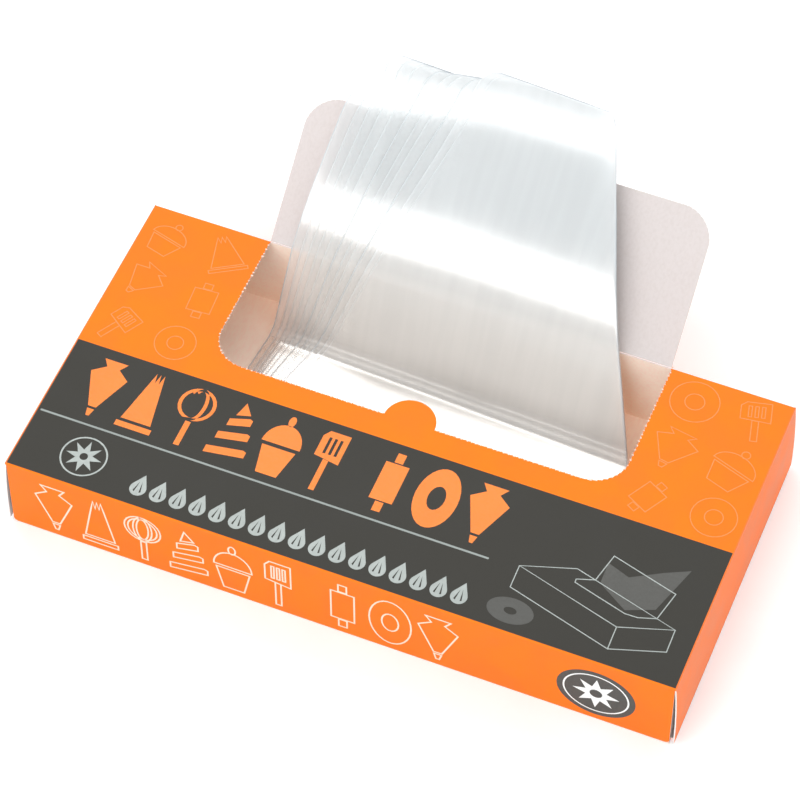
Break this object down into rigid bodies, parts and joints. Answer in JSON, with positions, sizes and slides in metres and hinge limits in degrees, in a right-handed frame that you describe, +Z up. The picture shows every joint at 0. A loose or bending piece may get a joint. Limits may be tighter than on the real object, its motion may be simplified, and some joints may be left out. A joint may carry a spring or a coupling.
{
  "type": "dispenser carton of piping bags",
  "caption": "Low folded board dispenser carton of clear disposable piping bags, its torn flap open and the fanned film bags pulled up through the mouth.",
  "frame": {"origin": "centre of the carton's base", "axes": "+X along the carton's length to the right, +Y to the rear, +Z up; the front faces -Y"},
  "size_m": [0.283, 0.2136, 0.1074],
  "materials": {
    "printed_board": "satin printed folding-box board, orange with a charcoal band",
    "printed_end_board": "satin printed folding-box board, orange",
    "printed_flap_board": "orange print outside, unprinted pale board inside",
    "plain_board": "unprinted pale board",
    "clear_film": "clear glossy polyethylene film"
  },
  "bodies": {
    "carton": {"top_panel": "printed_board", "front_panel": "printed_board", "rear_panel": "printed_board", "bottom_panel": "printed_board", "glue_flap": "plain_board", "bags_01_to_05_lying": "clear_film", "bags_06_to_10_lying": "clear_film", "bags_11_to_15_lying": "clear_film", "bags_16_to_20_lying": "clear_film", "bags_21_to_25_lying": "clear_film", "bags_26_to_30_lying": "clear_film", "bags_31_to_35_lying": "clear_film", "bags_36_to_40_lying": "clear_film", "bags_41_to_45_lying": "clear_film", "bags_46_to_49_lying": "clear_film", "front_bag_lying": "clear_film"},
    "dispensing_flap": {"dispensing_flap": "printed_flap_board"},
    "bag_stack": {"bags_01_to_05_standing": "clear_film", "bags_06_to_10_standing": "clear_film", "bags_11_to_15_standing": "clear_film", "bags_16_to_20_standing": "clear_film", "bags_21_to_25_standing": "clear_film", "bags_26_to_30_standing": "clear_film", "bags_31_to_35_standing": "clear_film", "bags_36_to_40_standing": "clear_film", "bags_41_to_45_standing": "clear_film", "bags_46_to_49_standing": "clear_film"},
    "front_bag": {"front_bag_standing": "clear_film"},
    "right_end_flap": {"right_end_flap": "printed_end_board"},
    "right_tuck_tongue": {"right_tuck_tongue": "printed_end_board"},
    "right_front_dust_flap": {"right_front_dust_flap": "plain_board"},
    "right_rear_dust_flap": {"right_rear_dust_flap": "plain_board"},
    "left_end_flap": {"left_end_flap": "printed_end_board"},
    "left_tuck_tongue": {"left_tuck_tongue": "printed_end_board"},
    "left_front_dust_flap": {"left_front_dust_flap": "plain_board"},
    "left_rear_dust_flap": {"left_rear_dust_flap": "plain_board"}
  },
  "joints": [
    {"name": "dispensing_flap_hinge", "type": "hinge", "parent": "carton", "child": "dispensing_flap", "pos_m": [0, 0.0715, 0.039], "axis": [-1, 0, 0], "range_deg": [0, 70]},
    {"name": "bag_stack_tip", "type": "hinge", "parent": "carton", "child": "bag_stack", "pos_m": [0, 0.04602, 0.00695], "axis": [1, 0, 0], "range_deg": [0, 60]},
    {"name": "front_bag_pull", "type": "slide", "parent": "bag_stack", "child": "front_bag", "axis": [0, 0.4848, 0.8746], "range_m": [0, 0.06]},
    {"name": "right_end_flap_hinge", "type": "hinge", "parent": "carton", "child": "right_end_flap", "pos_m": [0.1395, 0, 0.039], "axis": [0, -1, 0], "range_deg": [0, 95]},
    {"name": "right_tuck_tongue_fold", "type": "hinge", "parent": "right_end_flap", "child": "right_tuck_tongue", "pos_m": [0.14065, 0, 0.00155], "axis": [0, -1, 0], "range_deg": [-48, 0]},
    {"name": "right_front_dust_flap_hinge", "type": "hinge", "parent": "carton", "child": "right_front_dust_flap", "pos_m": [0.13895, -0.0707, 0.02], "axis": [0, 0, 1], "range_deg": [0, 55]},
    {"name": "right_rear_dust_flap_hinge", "type": "hinge", "parent": "carton", "child": "right_rear_dust_flap", "pos_m": [0.13895, 0.0707, 0.02], "axis": [0, 0, -1], "range_deg": [0, 55]},
    {"name": "left_end_flap_hinge", "type": "hinge", "parent": "carton", "child": "left_end_flap", "pos_m": [-0.1395, 0, 0.039], "axis": [0, 1, 0], "range_deg": [0, 95]},
    {"name": "left_tuck_tongue_fold", "type": "hinge", "parent": "left_end_flap", "child": "left_tuck_tongue", "pos_m": [-0.14065, 0, 0.00155], "axis": [0, 1, 0], "range_deg": [-48, 0]},
    {"name": "left_front_dust_flap_hinge", "type": "hinge", "parent": "carton", "child": "left_front_dust_flap", "pos_m": [-0.13895, -0.0707, 0.02], "axis": [0, 0, -1], "range_deg": [0, 55]},
    {"name": "left_rear_dust_flap_hinge", "type": "hinge", "parent": "carton", "child": "left_rear_dust_flap", "pos_m": [-0.13895, 0.0707, 0.02], "axis": [0, 0, 1], "range_deg": [0, 55]}
  ],
  "couplings": [
    {"joint": "right_tuck_tongue_fold", "follows": "right_end_flap_hinge", "ratio": -0.5},
    {"joint": "left_tuck_tongue_fold", "follows": "left_end_flap_hinge", "ratio": -0.5}
  ]
}
